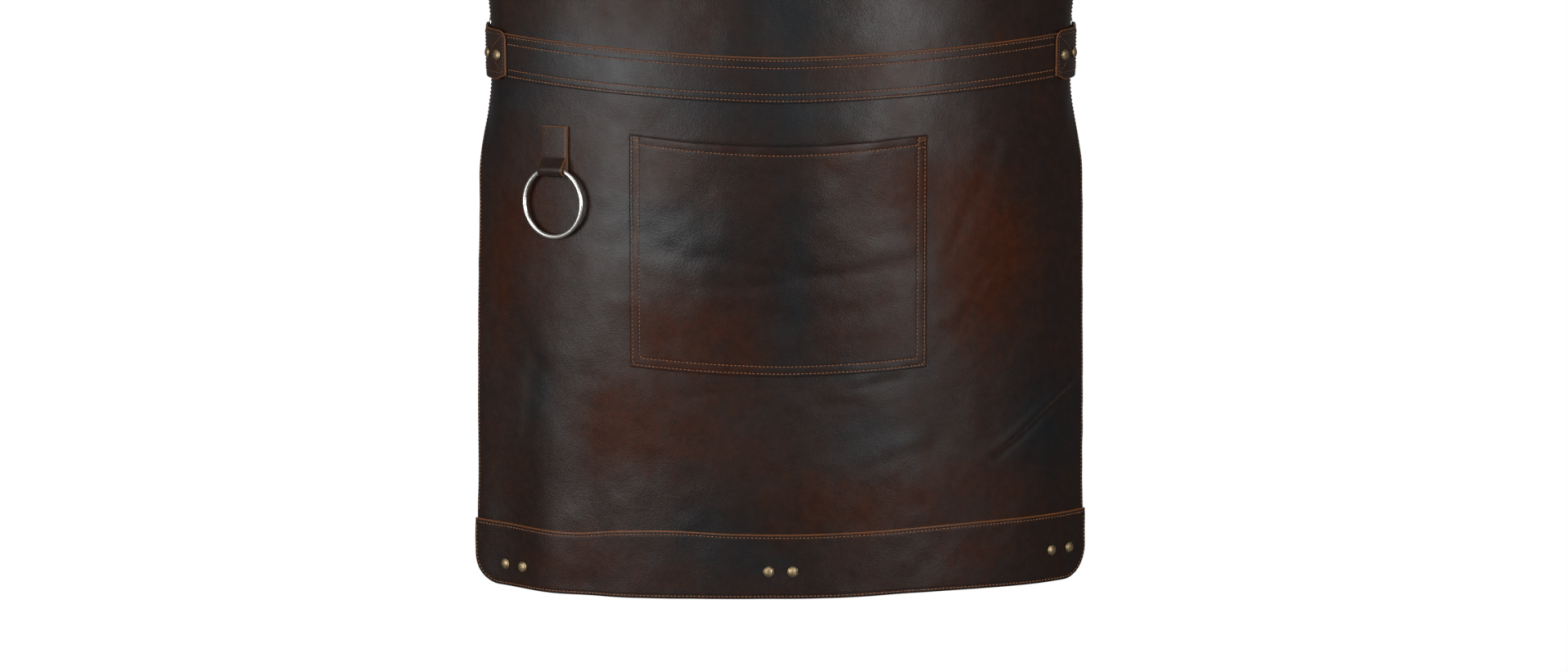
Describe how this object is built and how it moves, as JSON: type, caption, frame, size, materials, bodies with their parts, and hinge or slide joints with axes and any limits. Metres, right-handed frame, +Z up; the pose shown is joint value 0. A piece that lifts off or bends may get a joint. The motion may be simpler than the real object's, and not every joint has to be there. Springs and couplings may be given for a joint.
{
  "type": "welding apron",
  "caption": "Leather welding apron with waist band, riveted hem band, patch pocket, tool ring loop, side tabs, buckled waist strap and neck strap.",
  "frame": {"origin": "middle of the neck strap's inner face, where the apron hangs", "axes": "+Z up, -Y the apron's front, X across it"},
  "size_m": [0.59, 0.3565, 1.1337],
  "materials": {
    "panel_leather": "waxed dark brown cowhide, burnished",
    "strap_leather": "dark brown bridle leather",
    "satin_steel": "satin",
    "aged_brass": "antiqued"
  },
  "bodies": {
    "apron": {"skirt_panel": "panel_leather", "bib_panel": "panel_leather", "waist_band": "panel_leather", "hem_band": "panel_leather", "pocket": "panel_leather", "ring_loop": "strap_leather", "side_tab_left": "strap_leather", "side_tab_right": "strap_leather", "waist_strap_short": "strap_leather", "waist_strap_long": "strap_leather", "neck_strap_short": "strap_leather", "neck_strap_long": "strap_leather", "waist_buckle_frame": "satin_steel", "neck_buckle_frame": "satin_steel", "hem_rivet_1_cap": "aged_brass", "hem_rivet_1_post": "aged_brass", "hem_rivet_2_cap": "aged_brass", "hem_rivet_2_post": "aged_brass", "hem_rivet_3_cap": "aged_brass", "hem_rivet_3_post": "aged_brass", "hem_rivet_4_cap": "aged_brass", "hem_rivet_4_post": "aged_brass", "hem_rivet_5_cap": "aged_brass", "hem_rivet_5_post": "aged_brass", "hem_rivet_6_cap": "aged_brass", "hem_rivet_6_post": "aged_brass", "side_rivet_1_cap": "aged_brass", "side_rivet_1_post": "aged_brass", "side_rivet_2_cap": "aged_brass", "side_rivet_2_post": "aged_brass", "side_rivet_3_cap": "aged_brass", "side_rivet_3_post": "aged_brass", "side_rivet_4_cap": "aged_brass", "side_rivet_4_post": "aged_brass", "bib_rivet_1_cap": "aged_brass", "bib_rivet_1_post": "aged_brass", "bib_rivet_2_cap": "aged_brass", "bib_rivet_2_post": "aged_brass", "bib_rivet_3_cap": "aged_brass", "bib_rivet_3_post": "aged_brass", "bib_rivet_4_cap": "aged_brass", "bib_rivet_4_post": "aged_brass", "strap_rivet_1_cap": "aged_brass", "strap_rivet_1_post": "aged_brass", "strap_rivet_2_cap": "aged_brass", "strap_rivet_2_post": "aged_brass"},
    "tool_ring": {"tool_ring": "satin_steel"},
    "side_ring_left": {"side_ring_left": "satin_steel"},
    "side_ring_right": {"side_ring_right": "satin_steel"},
    "waist_prong": {"waist_buckle_prong": "satin_steel"},
    "neck_prong": {"neck_buckle_prong": "satin_steel"},
    "waist_keeper": {"waist_strap_keeper": "strap_leather"},
    "neck_keeper": {"neck_strap_keeper": "strap_leather"}
  },
  "joints": [
    {"name": "tool_ring_swing", "type": "hinge", "parent": "apron", "child": "tool_ring", "pos_m": [-0.21275, -0.1179, -0.7268], "axis": [-0.8652, 0.5015, 0], "range_deg": [0, 150]},
    {"name": "side_ring_left_rock", "type": "hinge", "parent": "apron", "child": "side_ring_left", "pos_m": [-0.2776, -0.02204, -0.61578], "axis": [0, 0, 1], "range_deg": [-4, 4]},
    {"name": "side_ring_right_rock", "type": "hinge", "parent": "apron", "child": "side_ring_right", "pos_m": [0.2776, -0.02204, -0.61578], "axis": [0, 0, 1], "range_deg": [-4, 4]},
    {"name": "waist_prong_lift", "type": "hinge", "parent": "apron", "child": "waist_prong", "pos_m": [-0.02, 0.17014, -0.61578], "axis": [0, 0, 1], "range_deg": [0, 25]},
    {"name": "neck_prong_lift", "type": "hinge", "parent": "apron", "child": "neck_prong", "pos_m": [-0.12272, -0.1478, -0.15404], "axis": [0.9634, -0.268, 0], "range_deg": [0, 25]},
    {"name": "waist_keeper_slide", "type": "slide", "parent": "apron", "child": "waist_keeper", "axis": [1, 0, 0], "range_m": [-0.012, 0.003]},
    {"name": "neck_keeper_slide", "type": "slide", "parent": "apron", "child": "neck_keeper", "axis": [0, 0, 1], "range_m": [-0.015, 0.006]}
  ]
}
